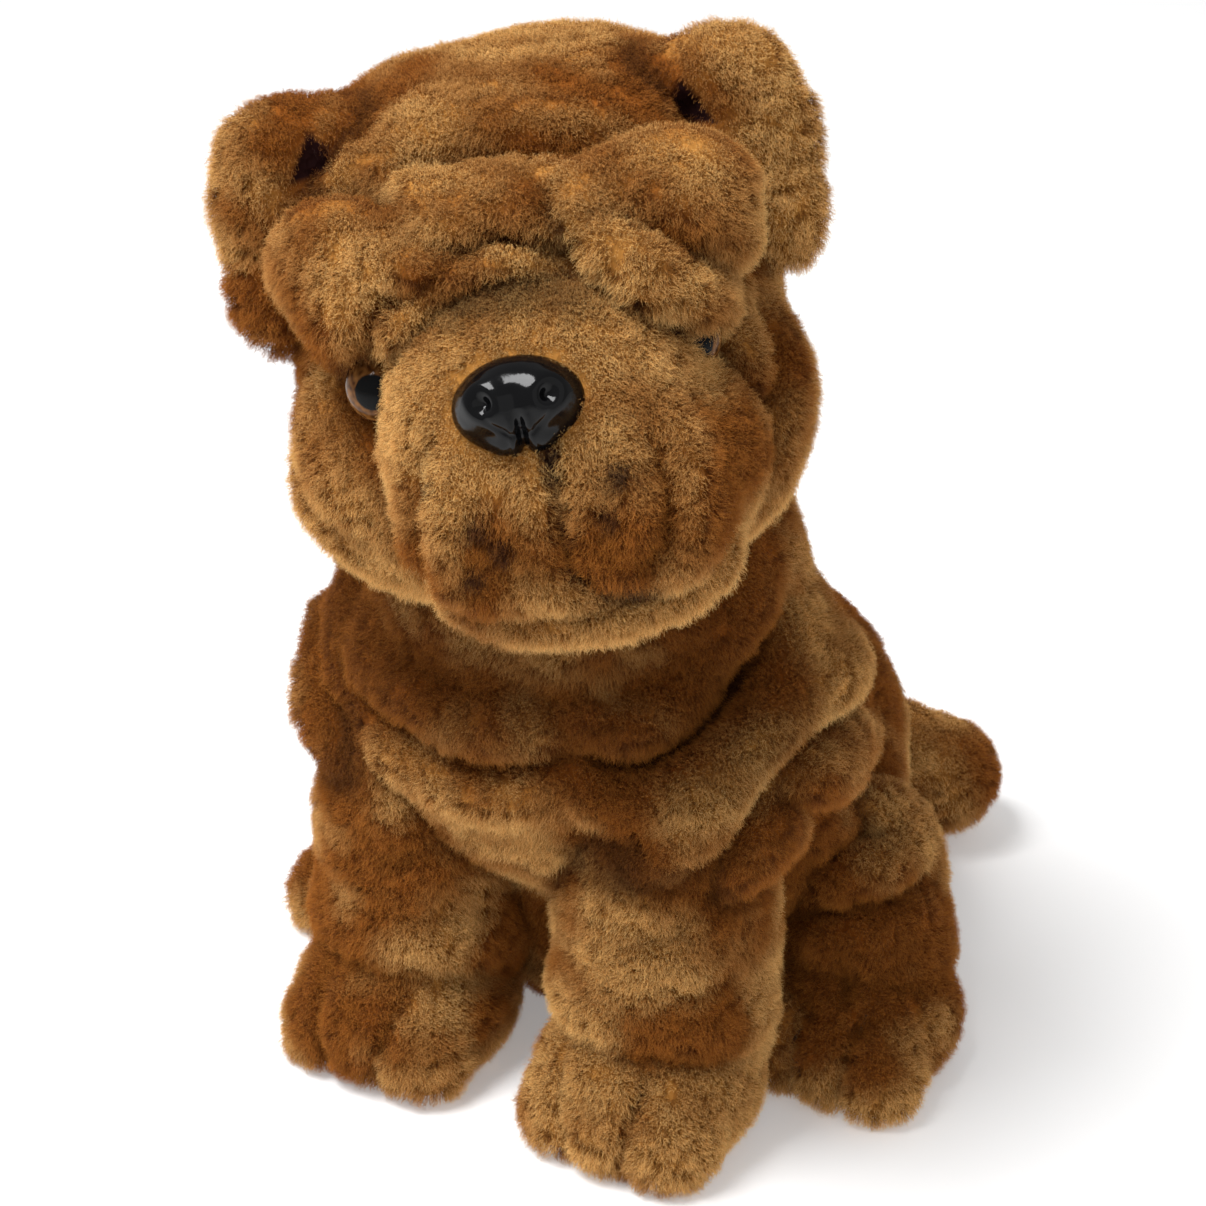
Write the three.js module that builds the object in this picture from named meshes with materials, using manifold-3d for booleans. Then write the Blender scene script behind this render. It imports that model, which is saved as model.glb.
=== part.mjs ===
// A sitting plush dog: a pile-fabric skin sewn from panels over loose fibre stuffing, with a
// moulded nose and two shanked eyes held by lock washers. Millimetres, +Z up, the dog's chest
// faces -Y and its left side is +X. The origin is the middle of the flat seat under the rump.
import * as THREE from "three";
import { mergeVertices } from "three/addons/utils/BufferGeometryUtils.js";
import Module from "manifold-3d";

const wasm = await Module();
wasm.setup();

// ---- Driving dimensions ----
const PELT = 6; // fabric and pile, from the stuffing to the tips of the fur
const GAP = 0.3; // between pieces that touch
const SWING_GAP = 1.6; // between bodies that move against each other
const SEAT_FLAT = 9; // how far the rump is pressed flat where it sits
const SOLE_FLAT = 5; // how far each paw is pressed flat

// Half sizes of the ellipsoids that the torso is sewn up from, and the steps between their centres.
const rump = { halfWidth: 54, halfLength: 54, halfHeight: 54 };
const chest = { halfWidth: 67, halfLength: 47, halfHeight: 48, ahead: 44, rise: 48 };
const collar = { halfWidth: 53, halfLength: 42, halfHeight: 32, ahead: 3, rise: 36 };
const neck = { radius: 20, sunk: 32 }; // a firm ball of stuffing, sunk into the collar's top

const skull = { halfWidth: 55, halfLength: 50, halfHeight: 55, over: 5, ahead: 11, aside: -4 };
const brow = { halfWidth: 47, halfLength: 20, halfHeight: 21, ahead: 34, rise: 17 };
const cheek = { radius: 35, apart: 20, ahead: 12, drop: 19 };
const muzzle = { halfWidth: 38, halfLength: 31, halfHeight: 35, ahead: 38, drop: 12, back: 6 };
const chin = { halfWidth: 25, halfLength: 16, halfHeight: 9, ahead: 8, drop: 28 };
const jowl = { halfWidth: 14, halfLength: 9, halfHeight: 18, apart: 14, drop: 10 };
// The head is sewn on askew: a turn, a nod and a tilt in degrees from facing straight ahead.
const headPose = { yaw: 31, pitch: -4, roll: 9.5 };

// Each ear is a flap on the head's upper corner, the right one turned more edge-on.
const ear = { length: 46, halfWidth: 17, thickness: 12, splay: 13, lean: 12 };
const earRoot = { inset: 14, rise: 50, ahead: 4 };

const nose = { halfWidth: 13, halfHeight: 9.2, halfLength: 8, rise: 13, proud: 4 };
const nostril = { radius: 2.6, apart: 5.4, rise: 2.2 };
const eye = { radius: 7.5, depth: 4.5, apart: 33, rise: 1, ahead: 44, out: 25 };
const shank = { radius: 2.4, length: 15 };
const washer = { radius: 7, thickness: 1.6 };

const frontLeg = { radius: 23.5, inset: 0, shoulder: 76 };
// A paw grows forwards from its heel behind the shoulder, or backwards from its toe ahead of the hip.
const frontPaw = { halfWidth: 26, halfLength: 29, halfHeight: 22, heel: 22, apart: 13 };
const hindLeg = { halfWidth: 19, halfLength: 27, halfHeight: 31, ahead: 12, out: -1 };
const hindPaw = { halfWidth: 24, halfLength: 26, halfHeight: 20, toe: 44, inside: 14 };
const tail = { radius: 18, tipRadius: 17, reach: 22, rise: 26, sunk: 8, curl: 37 };
const toe = { threadRadius: 0.9, apart: 17, low: -6, high: 60 };
const pelletBag = { radius: 34, height: 22 };

// Limits of each joint, in degrees from the pose that the dog sits in.
const swing = {
  frontLeg: [0, 30],
  hindLeg: [0, 25],
  tail: [-5, 70],
  ear: [0, 50],
  nod: [-6, 8],
};
const SWING_STEP = 40; // degrees between the copies that a swept clearance is made of

const fabric = { color: 0xb07c42, roughness: 0.95, metalness: 0 };
const fibre = { color: 0xf2efe6, roughness: 1, metalness: 0 };
const pellets = { color: 0xd8d8d2, roughness: 0.8, metalness: 0 };
const blackPlastic = { color: 0x0c0c0e, roughness: 0.15, metalness: 0 };
const brownPlastic = { color: 0x3a1c0c, roughness: 0.08, metalness: 0 };
const clearPlastic = { color: 0xe6e6e0, roughness: 0.5, metalness: 0 };
const darkThread = { color: 0x2a1c14, roughness: 0.9, metalness: 0 };

// ---- Solids ----
const DEG = Math.PI / 180;
const SEGMENTS = 14;
const COARSE_SEGMENTS = 10; // for small solids, and for clearances, whose facets stay outside
const SMALL = 10; // a radius under this has coarse facets
const FAR = 400; // larger than the dog
const SIDES = [
  { side: 1, name: "left", earTwist: 0 },
  { side: -1, name: "right", earTwist: 48 },
];

function solidOf(geometry) {
  const bare = geometry.clone();
  bare.deleteAttribute("normal");
  bare.deleteAttribute("uv");
  const merged = mergeVertices(bare, 1e-4);
  return new wasm.Manifold(
    new wasm.Mesh({
      numProp: 3,
      vertProperties: new Float32Array(merged.attributes.position.array),
      triVerts: new Uint32Array(merged.index.array),
    }),
  );
}

function geometryOf(solid) {
  const mesh = solid.getMesh();
  const geometry = new THREE.BufferGeometry();
  geometry.setAttribute("position", new THREE.BufferAttribute(mesh.vertProperties, 3));
  geometry.setIndex(new THREE.BufferAttribute(mesh.triVerts, 1));
  geometry.computeVertexNormals();
  return geometry;
}

// The largest body of a solid: what a cut leaves of a panel, without its crumbs.
function mainBody(solid) {
  return solid.decompose().sort((a, b) => b.volume() - a.volume())[0];
}

const segmentsFor = (radius, grow) => (radius < SMALL || grow > GAP ? COARSE_SEGMENTS : SEGMENTS);
const facetAllowance = (grow) => (grow > GAP ? 1 / Math.cos(Math.PI / COARSE_SEGMENTS) ** 2 : 1);

function ellipsoid(centre, radii, grow = 0) {
  const segments = segmentsFor(radii[0], grow);
  const geometry = new THREE.SphereGeometry(facetAllowance(grow), segments, segments / 2);
  geometry.rotateX(Math.PI / 2);
  geometry.scale(radii[0] + grow, radii[1] + grow, radii[2] + grow);
  geometry.translate(...centre);
  return solidOf(geometry);
}

// A closed solid turned about the line between two points, from [radius, distance along] pairs.
function turned(profile, from, to, segments) {
  const along = new THREE.Vector3(...to).sub(new THREE.Vector3(...from)).normalize();
  const points = profile.map(([radius, distance]) => new THREE.Vector2(radius, distance));
  const geometry = new THREE.LatheGeometry(points, segments);
  geometry.applyQuaternion(new THREE.Quaternion().setFromUnitVectors(new THREE.Vector3(0, 1, 0), along));
  geometry.translate(...from);
  return solidOf(geometry);
}

const distanceBetween = (from, to) => new THREE.Vector3(...from).distanceTo(new THREE.Vector3(...to));

function rod(radius, from, to) {
  const length = distanceBetween(from, to);
  const profile = [[0, 0], [radius, 0], [radius, length], [0, length]];
  return turned(profile, from, to, segmentsFor(radius, 0));
}

// A rod with domed ends centred on the two points.
function sausage(radius, tipRadius, from, to, grow = 0) {
  const length = distanceBetween(from, to);
  const profile = [];
  for (let angle = 0; angle <= 90; angle += 30) {
    const [x, y] = [Math.sin(angle * DEG), Math.cos(angle * DEG)];
    profile.push([(radius + grow) * x, -(radius + grow) * y]);
  }
  for (let angle = 90; angle >= 0; angle -= 30) {
    const [x, y] = [Math.sin(angle * DEG), Math.cos(angle * DEG)];
    profile.push([(tipRadius + grow) * x, length + (tipRadius + grow) * y]);
  }
  return turned(profile, from, to, segmentsFor(radius, grow));
}

function block(low, high) {
  const geometry = new THREE.BoxGeometry(...high.map((v, i) => v - low[i]));
  geometry.translate(...low.map((v, i) => (v + high[i]) / 2));
  return solidOf(geometry);
}

const above = (z) => block([-FAR, -FAR, z], [FAR, FAR, FAR]);
const below = (z) => block([-FAR, -FAR, -FAR], [FAR, FAR, z]);
const leftOf = (x) => block([x, -FAR, -FAR], [FAR, FAR, FAR]);
const rightOf = (x) => block([-FAR, -FAR, -FAR], [x, FAR, FAR]);
const aheadOf = (y) => block([-FAR, -FAR, -FAR], [FAR, y, FAR]);
const behind = (y) => block([-FAR, y, -FAR], [FAR, FAR, FAR]);
const onSide = (side) => (side > 0 ? leftOf(GAP / 2) : rightOf(-GAP / 2));
const joined = (solids) => solids.reduce((a, b) => a.add(b));
const moved = (solid, matrix) => solid.transform(matrix.elements);

function turnAbout(point, axis, degrees) {
  const there = new THREE.Matrix4().makeTranslation(...point);
  const back = new THREE.Matrix4().makeTranslation(...point.map((v) => -v));
  const spin = new THREE.Matrix4().makeRotationAxis(axis.clone().normalize(), degrees * DEG);
  return there.multiply(spin).multiply(back);
}

// Everything a solid passes through as its joint goes from one limit to the other.
function swept(solid, point, axis, [low, high]) {
  const steps = Math.max(1, Math.ceil((high - low) / SWING_STEP));
  const copies = [];
  for (let i = 0; i <= steps; i++) {
    copies.push(moved(solid, turnAbout(point, axis, low + ((high - low) * i) / steps)));
  }
  return joined(copies);
}

// ---- Where the parts stand ----
const FORWARDS = new THREE.Vector3(-1, 0, 0); // a positive turn about it lifts a leg forwards
const UPRIGHT = new THREE.Vector3(0, 0, 1);
const outwards = (side) => UPRIGHT.clone().multiplyScalar(side); // a positive turn splays a hind leg

const rumpCentre = [0, 0, rump.halfHeight - SEAT_FLAT];
const chestCentre = [0, -chest.ahead, rumpCentre[2] + chest.rise];
const collarCentre = [0, chestCentre[1] - collar.ahead, chestCentre[2] + collar.rise];
const neckCentre = [0, collarCentre[1], collarCentre[2] + collar.halfHeight - neck.sunk];
const headCentre = [
  skull.aside,
  neckCentre[1] - skull.ahead,
  neckCentre[2] + skull.halfHeight + skull.over,
];

const dog = new THREE.Group();
const head = new THREE.Group();
head.position.set(...headCentre);
head.rotation.set(headPose.pitch * DEG, -headPose.roll * DEG, headPose.yaw * DEG, "ZXY");
dog.add(head);
dog.updateMatrixWorld(true);
const headPlace = head.matrixWorld.clone();
const headPlaceBack = headPlace.clone().invert();

function addPiece(group, name, solid, look) {
  const mesh = new THREE.Mesh(geometryOf(mainBody(solid)), new THREE.MeshStandardMaterial(look));
  mesh.name = name;
  group.add(mesh);
}

// ---- The forms of the soft parts, each swollen by grow ----
function torsoForm(grow) {
  return joined([
    ellipsoid(rumpCentre, [rump.halfWidth, rump.halfLength, rump.halfHeight], grow),
    ellipsoid(chestCentre, [chest.halfWidth, chest.halfLength, chest.halfHeight], grow),
    ellipsoid(collarCentre, [collar.halfWidth, collar.halfLength, collar.halfHeight], grow),
  ]).intersect(above(-grow));
}

const neckForm = (grow) => ellipsoid(neckCentre, [neck.radius, neck.radius, neck.radius], grow);

function headForm(grow) {
  return joined([
    ellipsoid([0, 0, 0], [skull.halfWidth, skull.halfLength, skull.halfHeight], grow),
    ellipsoid([0, -brow.ahead, brow.rise], [brow.halfWidth, brow.halfLength, brow.halfHeight], grow),
    ...SIDES.map(({ side }) =>
      ellipsoid(
        [side * cheek.apart, -cheek.ahead, -cheek.drop],
        [cheek.radius, cheek.radius, cheek.radius],
        grow,
      ),
    ),
  ]);
}

const muzzleCentre = [0, -muzzle.ahead, -muzzle.drop];
function muzzleForm(grow) {
  const radii = [muzzle.halfWidth, muzzle.halfLength, muzzle.halfHeight];
  return ellipsoid(muzzleCentre, radii, grow).intersect(aheadOf(muzzleCentre[1] + muzzle.back + grow));
}

function chinForm(grow) {
  const centre = [0, muzzleCentre[1] - chin.ahead, muzzleCentre[2] - chin.drop];
  return ellipsoid(centre, [chin.halfWidth, chin.halfLength, chin.halfHeight], grow);
}

function jowlForm(side, grow) {
  const centre = [
    side * jowl.apart,
    muzzleCentre[1] - muzzle.halfLength + jowl.halfLength / 2,
    muzzleCentre[2] - jowl.drop,
  ];
  return ellipsoid(centre, [jowl.halfWidth, jowl.halfLength, jowl.halfHeight], grow);
}

// An ear is a flap of two plies that hangs outwards and down from a seam on the head's top.
const earRootAt = (side) => [side * (skull.halfWidth - earRoot.inset), -earRoot.ahead, earRoot.rise];
const earPlace = (side, twist) =>
  new THREE.Matrix4()
    .makeTranslation(...earRootAt(side))
    .multiply(new THREE.Matrix4().makeRotationY(-side * ear.splay * DEG))
    .multiply(new THREE.Matrix4().makeRotationX(-ear.lean * DEG))
    .multiply(new THREE.Matrix4().makeRotationZ(side * twist * DEG));
const earAxis = (side) => new THREE.Vector3(0, -side, 0); // a positive turn lifts the flap outwards
function earForm(side, twist, grow) {
  const radii = [ear.halfWidth, ear.thickness / 2, ear.length / 2];
  return moved(ellipsoid([0, 0, -ear.length / 2], radii, grow), earPlace(side, twist));
}

const shoulder = (side) => [
  side * (frontPaw.halfWidth + frontPaw.apart / 2),
  chestCentre[1] - chest.halfLength / 2 - frontLeg.inset,
  frontLeg.shoulder,
];
const frontPawCentre = (side) => {
  const [x, y] = shoulder(side);
  return [x, y + frontPaw.heel - frontPaw.halfLength, frontPaw.halfHeight - SOLE_FLAT];
};
function frontLegForm(side, grow) {
  const [x, y, z] = shoulder(side);
  const paw = [frontPaw.halfWidth, frontPaw.halfLength, frontPaw.halfHeight];
  return joined([
    sausage(frontLeg.radius, frontLeg.radius, [x, y, z], [x, y, frontPaw.halfHeight], grow),
    ellipsoid(frontPawCentre(side), paw, grow),
  ]).intersect(above(-grow));
}

const hip = (side) => [side * (rump.halfWidth + hindLeg.out), -hindLeg.ahead, hindLeg.halfHeight];
const hindPawCentre = (side) => {
  const [x, y] = hip(side);
  const across = x + side * (hindPaw.halfWidth - hindPaw.inside);
  return [across, y - hindPaw.toe + hindPaw.halfLength, hindPaw.halfHeight - SOLE_FLAT];
};
function hindLegForm(side, grow) {
  const thigh = [hindLeg.halfWidth, hindLeg.halfLength, hindLeg.halfHeight];
  const paw = [hindPaw.halfWidth, hindPaw.halfLength, hindPaw.halfHeight];
  return joined([
    ellipsoid(hip(side), thigh, grow),
    ellipsoid(hindPawCentre(side), paw, grow),
  ]).intersect(above(-grow));
}

// A hind paw is pressed flat where it meets the front leg beside it.
const pressedHindLeg = (side, grow) =>
  hindLegForm(side, grow).subtract(frontLegForm(side, GAP - grow));

const tailRoot = [0, rump.halfLength - tail.sunk, tail.rise];
const tailTip = [tail.curl, tailRoot[1] + tail.reach, tail.tipRadius + 1.5];
const tailForm = (grow) =>
  sausage(tail.radius, tail.tipRadius, tailRoot, tailTip, grow).intersect(above(-grow));

// ---- Nose and eyes: each a moulded face on a shank, locked by a washer behind the fabric ----
const noseFace = [0, muzzleCentre[1] - muzzle.halfLength + nose.proud, muzzleCentre[2] + nose.rise];
const nosePlace = new THREE.Matrix4().makeTranslation(...noseFace);
const eyePlace = (side) =>
  new THREE.Matrix4()
    .makeTranslation(side * eye.apart, -eye.ahead, eye.rise)
    .multiply(new THREE.Matrix4().makeRotationZ(side * eye.out * DEG));
const washerSeat = PELT + GAP; // how far behind the face the washer sits

const shankForm = (grow) => rod(shank.radius + grow, [0, 0, 0], [0, shank.length + grow, 0]);

function noseForm(grow) {
  const face = ellipsoid([0, 0, 0], [nose.halfWidth, nose.halfLength, nose.halfHeight], grow);
  const pits = [-1, 1].map((side) =>
    ellipsoid(
      [side * nostril.apart, -nose.halfLength, nostril.rise],
      [nostril.radius, nostril.radius, nostril.radius],
      -grow,
    ),
  );
  const cap = face.subtract(joined(pits)).intersect(aheadOf(washerSeat / 2 + grow));
  return moved(cap.add(shankForm(grow)), nosePlace);
}

function eyeForm(side, grow) {
  const face = ellipsoid([0, 0, 0], [eye.radius, eye.depth, eye.radius], grow);
  return moved(face.intersect(aheadOf(grow)).add(shankForm(grow)), eyePlace(side));
}

function washerForm(place, grow) {
  const back = washerSeat + washer.thickness;
  const disc = rod(washer.radius + grow, [0, washerSeat - grow, 0], [0, back + grow, 0]);
  const hole = rod(shank.radius + GAP, [0, 0, 0], [0, shank.length, 0]);
  return moved(grow > 0 ? disc : disc.subtract(hole), place);
}

// ---- Toe threads: each is pulled over the paw and sinks into the pile ----
function toeThread(centre, half, offset, grow) {
  const shrink = Math.sqrt(1 - (offset / half[0]) ** 2);
  const points = [];
  for (let angle = toe.low; angle <= toe.high; angle += (toe.high - toe.low) / 4) {
    const y = centre[1] - (half[1] * shrink - toe.threadRadius) * Math.cos(angle * DEG);
    const z = centre[2] + (half[2] * shrink - toe.threadRadius) * Math.sin(angle * DEG);
    points.push(new THREE.Vector3(centre[0] + offset, y, z));
  }
  const section = new THREE.Shape();
  section.absarc(0, 0, toe.threadRadius + grow, 0, 2 * Math.PI);
  const path = new THREE.CatmullRomCurve3(points);
  const settings = { steps: 6, bevelEnabled: false, extrudePath: path, curveSegments: 3 };
  return solidOf(new THREE.ExtrudeGeometry(section, settings));
}

const pawToes = (centre, size, grow) =>
  [-0.5, 0.5].map((step) =>
    toeThread(centre, [size.halfWidth, size.halfLength, size.halfHeight], step * toe.apart, grow),
  );

// ---- Head ----
const eyesAndNose = (grow) => [
  noseForm(grow),
  washerForm(nosePlace, grow),
  ...SIDES.flatMap(({ side }) => [eyeForm(side, grow), washerForm(eyePlace(side), grow)]),
];
const neckInHead = moved(neckForm(SWING_GAP), headPlaceBack);
const pads = (grow) => [chinForm(grow), ...SIDES.map(({ side }) => jowlForm(side, grow))];
const earSweeps = SIDES.map(({ side, earTwist }) =>
  swept(earForm(side, earTwist, SWING_GAP), earRootAt(side), earAxis(side), swing.ear),
);
const headHollow = joined([
  muzzleForm(GAP),
  neckInHead,
  ...pads(GAP),
  ...earSweeps,
  ...eyesAndNose(GAP),
]);
const headSkin = headForm(0).subtract(headForm(-PELT)).subtract(headHollow);
const FACE_SEAM_Y = 6; // where the back of the head is sewn to the face
const BROW_SEAM_Z = 4; // where the forehead is sewn to the cheeks
addPiece(head, "head_back_panel", headSkin.intersect(behind(FACE_SEAM_Y + GAP)), fabric);
const faceSkin = headSkin.intersect(aheadOf(FACE_SEAM_Y));
addPiece(head, "forehead_panel", faceSkin.intersect(above(BROW_SEAM_Z + GAP)), fabric);
for (const { side, name } of SIDES) {
  const cheekSkin = faceSkin.intersect(below(BROW_SEAM_Z)).intersect(onSide(side));
  addPiece(head, `cheek_${name}_panel`, cheekSkin, fabric);
}
addPiece(head, "head_stuffing", headForm(-PELT - GAP).subtract(headHollow), fibre);

const muzzleHollow = joined([...pads(GAP), ...eyesAndNose(GAP), neckInHead]);
const muzzleMouth = rod(muzzle.halfHeight - PELT, muzzleCentre, [0, 0, muzzleCentre[2]]);
const muzzleSkin = muzzleForm(0).subtract(muzzleForm(-PELT)).subtract(muzzleMouth);
addPiece(head, "muzzle_panel", muzzleSkin.subtract(muzzleHollow), fabric);
addPiece(head, "muzzle_stuffing", muzzleForm(-PELT - GAP).subtract(muzzleHollow), fibre);
const jowls = joined(SIDES.map(({ side }) => jowlForm(side, GAP)));
addPiece(head, "chin_pad", chinForm(0).subtract(jowls), fabric);
addPiece(head, "nose", noseForm(0), blackPlastic);
addPiece(head, "nose_washer", washerForm(nosePlace, 0), clearPlastic);
for (const { side, name, earTwist } of SIDES) {
  const pad = jowlForm(side, 0).intersect(onSide(side)).subtract(noseForm(GAP));
  addPiece(head, `jowl_${name}_pad`, pad, fabric);
  addPiece(head, `eye_${name}`, eyeForm(side, 0), brownPlastic);
  addPiece(head, `eye_${name}_washer`, washerForm(eyePlace(side), 0), clearPlastic);
  const place = earPlace(side, earTwist);
  const plies = earForm(side, earTwist, 0);
  addPiece(head, `ear_${name}_back_ply`, plies.intersect(moved(behind(GAP / 2), place)), fabric);
  addPiece(head, `ear_${name}_front_ply`, plies.intersect(moved(aheadOf(-GAP / 2), place)), fabric);
}

// ---- Neck, torso, legs and tail ----
addPiece(dog, "neck_stuffing", neckForm(0), fibre);

// The head turns over a shallow bowl in the collar, wide and deep enough for every turn and nod.
const nodShift = Math.sin(Math.max(...swing.nod.map(Math.abs)) * DEG);
const headOffset = Math.hypot(skull.aside, skull.ahead);
const cheekReach = Math.hypot(cheek.apart, cheek.ahead + headOffset);
const bowlReach = skull.halfWidth + headOffset + skull.halfHeight * nodShift;
const cheekDepth = cheek.drop + cheek.radius + cheekReach * nodShift;
const bowlDepth = cheekDepth / Math.sqrt(1 - (cheekReach / bowlReach) ** 2);
const headBowl = ellipsoid(
  [neckCentre[0], neckCentre[1], headCentre[2]],
  [bowlReach, bowlReach, bowlDepth],
  SWING_GAP,
);
const legSweeps = SIDES.flatMap(({ side }) => [
  swept(frontLegForm(side, SWING_GAP), shoulder(side), FORWARDS, swing.frontLeg),
  swept(hindLegForm(side, SWING_GAP), hip(side), outwards(side), swing.hindLeg),
]);
const tailSweep = swept(tailForm(SWING_GAP), tailRoot, UPRIGHT, swing.tail);
const torsoSockets = joined([headBowl, neckForm(SWING_GAP), ...legSweeps, tailSweep]);

const torsoSkin = torsoForm(0).subtract(torsoForm(-PELT)).subtract(torsoSockets);
const seatSeam = PELT + 3; // height of the seam round the flat seat
const sideSeam = chestCentre[1] / 2; // Y where the chest panel is sewn to the back panels
addPiece(dog, "seat_panel", torsoSkin.intersect(below(seatSeam)), fabric);
const upperSkin = torsoSkin.intersect(above(seatSeam + GAP));
addPiece(dog, "chest_panel", upperSkin.intersect(aheadOf(sideSeam)), fabric);
for (const { side, name } of SIDES) {
  const backSkin = upperSkin.intersect(behind(sideSeam + GAP)).intersect(onSide(side));
  addPiece(dog, `back_${name}_panel`, backSkin, fabric);
}

// The pellet bag rests on the seat panel, under the stuffing.
const bagFloor = PELT + GAP;
const bagForm = (grow) =>
  ellipsoid([0, 0, bagFloor], [pelletBag.radius, pelletBag.radius, pelletBag.height], grow);
const torsoFill = torsoForm(-PELT - GAP).subtract(torsoSockets);
addPiece(dog, "pellet_bag", torsoFill.intersect(bagForm(0)), pellets);
addPiece(dog, "torso_stuffing", torsoFill.subtract(bagForm(GAP)), fibre);

// A leg is a skin with its mouth at the joint, a flat sole, stuffing, and two toe threads.
function addLeg(name, form, mouth, paw, size, beside) {
  const threads = joined(pawToes(paw, size, GAP));
  const skin = form(0).subtract(form(-PELT)).subtract(mouth).subtract(threads);
  addPiece(dog, `${name}_skin`, skin.intersect(above(PELT + GAP)), fabric);
  addPiece(dog, `${name}_sole`, skin.intersect(below(PELT)), fabric);
  addPiece(dog, `${name}_stuffing`, form(-PELT - GAP).subtract(threads), fibre);
  pawToes(paw, size, 0).forEach((thread, i) => {
    addPiece(dog, `${name}_toe_thread_${i + 1}`, thread.subtract(beside), darkThread);
  });
}

for (const { side, name } of SIDES) {
  const [x, y, z] = shoulder(side);
  const frontMouth = rod(frontLeg.radius - PELT * 1.5, [x, y, z], [x, y, z + frontLeg.radius * 2]);
  const paw = frontPawCentre(side);
  const behindIt = hindLegForm(side, -PELT);
  addLeg(`front_leg_${name}`, (g) => frontLegForm(side, g), frontMouth, paw, frontPaw, behindIt);
  const [hipX, hipY, hipZ] = hip(side);
  const hindMouth = rod(hindLeg.halfWidth - PELT * 1.5, hip(side), [hipX - side * FAR, hipY, hipZ]);
  const hind = hindPawCentre(side);
  const infront = frontLegForm(side, GAP);
  addLeg(`hind_leg_${name}`, (g) => pressedHindLeg(side, g), hindMouth, hind, hindPaw, infront);
}

const tailMouth = rod(tail.radius - PELT * 1.5, tailRoot, [0, -FAR, tail.rise]);
addPiece(dog, "tail_skin", tailForm(0).subtract(tailForm(-PELT)).subtract(tailMouth), fabric);
addPiece(dog, "tail_stuffing", tailForm(-PELT - GAP), fibre);

export default dog;
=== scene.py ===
import math

import bmesh
import bpy
import numpy as np
from mathutils import Euler, Matrix, Vector, noise
from mathutils.bvhtree import BVHTree


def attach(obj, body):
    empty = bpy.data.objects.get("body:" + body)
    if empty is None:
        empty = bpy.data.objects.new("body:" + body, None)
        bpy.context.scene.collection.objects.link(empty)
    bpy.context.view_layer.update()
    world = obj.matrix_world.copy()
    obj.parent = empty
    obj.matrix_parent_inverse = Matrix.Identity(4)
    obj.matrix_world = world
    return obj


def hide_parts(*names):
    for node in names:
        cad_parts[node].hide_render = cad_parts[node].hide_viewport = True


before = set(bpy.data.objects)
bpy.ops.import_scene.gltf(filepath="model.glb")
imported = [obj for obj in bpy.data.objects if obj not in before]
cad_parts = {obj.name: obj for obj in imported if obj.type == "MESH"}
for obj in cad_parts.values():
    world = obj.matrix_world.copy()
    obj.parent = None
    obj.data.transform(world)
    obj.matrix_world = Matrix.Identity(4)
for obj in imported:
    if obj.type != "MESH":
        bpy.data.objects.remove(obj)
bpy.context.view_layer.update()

MM = 0.001
SIDES = (("left", 1), ("right", -1))

# ---- Sizes, in millimetres ----
PILE = 2.7  # length of the pile
GROW = 1.4  # what each form is let out by before it is creased
HEAD_CENTRE = (-4, -58, 189)
HEAD_YAW, HEAD_PITCH, HEAD_ROLL = 31, -4, 9.5
NECK = (0, -47, 129)

scene = bpy.context.scene
for spare in [o for o in scene.objects if o.type in {"CAMERA", "LIGHT"}]:
    bpy.data.objects.remove(spare)


def head_frame():
    pitch = Matrix.Rotation(math.radians(HEAD_PITCH), 4, "X")
    roll = Matrix.Rotation(math.radians(-HEAD_ROLL), 4, "Y")
    yaw = Matrix.Rotation(math.radians(HEAD_YAW), 4, "Z")
    return Matrix.Translation(HEAD_CENTRE) @ yaw @ pitch @ roll


HEAD = head_frame()
ROW = Matrix.Identity(4)


# ---- Meshes ----
def ball(centre, radii, turn=(0, 0, 0)):
    spin = Euler([math.radians(a) for a in turn]).to_matrix().to_4x4()
    return Matrix.Translation(centre) @ spin @ Matrix.Diagonal((*radii, 1))


def mesh_object(name, mesh):
    o = bpy.data.objects.new(name, mesh)
    scene.collection.objects.link(o)
    return o


def bake(o):
    """Applies every modifier of o."""
    graph = bpy.context.evaluated_depsgraph_get()
    made = bpy.data.meshes.new_from_object(o.evaluated_get(graph))
    o.modifiers.clear()
    o.data = made
    return o


def with_modifier(o, kind, **settings):
    m = o.modifiers.new(kind, kind)
    for key, value in settings.items():
        setattr(m, key, value)
    return bake(o)


def joined_balls(name, balls, voxel, smooth, floor=None):
    """One closed skin round the balls, in millimetres, in the frame of the balls."""
    bm = bmesh.new()
    for m in balls:
        bmesh.ops.create_icosphere(bm, subdivisions=4, radius=1, matrix=m)
    mesh = bpy.data.meshes.new(name)
    bm.to_mesh(mesh)
    bm.free()
    o = mesh_object(name, mesh)
    if floor is not None:
        co = coordinates(o)
        co[:, 2] = np.maximum(co[:, 2], floor)
        put_coordinates(o, co)
    with_modifier(o, "REMESH", mode="VOXEL", voxel_size=voxel)
    with_modifier(o, "SMOOTH", factor=0.5, iterations=smooth)
    put_coordinates(o, coordinates(o) + GROW * normals(o))
    return o


def coordinates(o):
    co = np.empty(len(o.data.vertices) * 3)
    o.data.vertices.foreach_get("co", co)
    return co.reshape(-1, 3)


def put_coordinates(o, co):
    o.data.vertices.foreach_set("co", np.ascontiguousarray(co, dtype=np.float64).ravel())
    o.data.update()


def normals(o):
    n = np.empty(len(o.data.vertices) * 3, dtype=np.float32)
    o.data.vertex_normals.foreach_get("vector", n)
    return n.reshape(-1, 3).astype(float)


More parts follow.
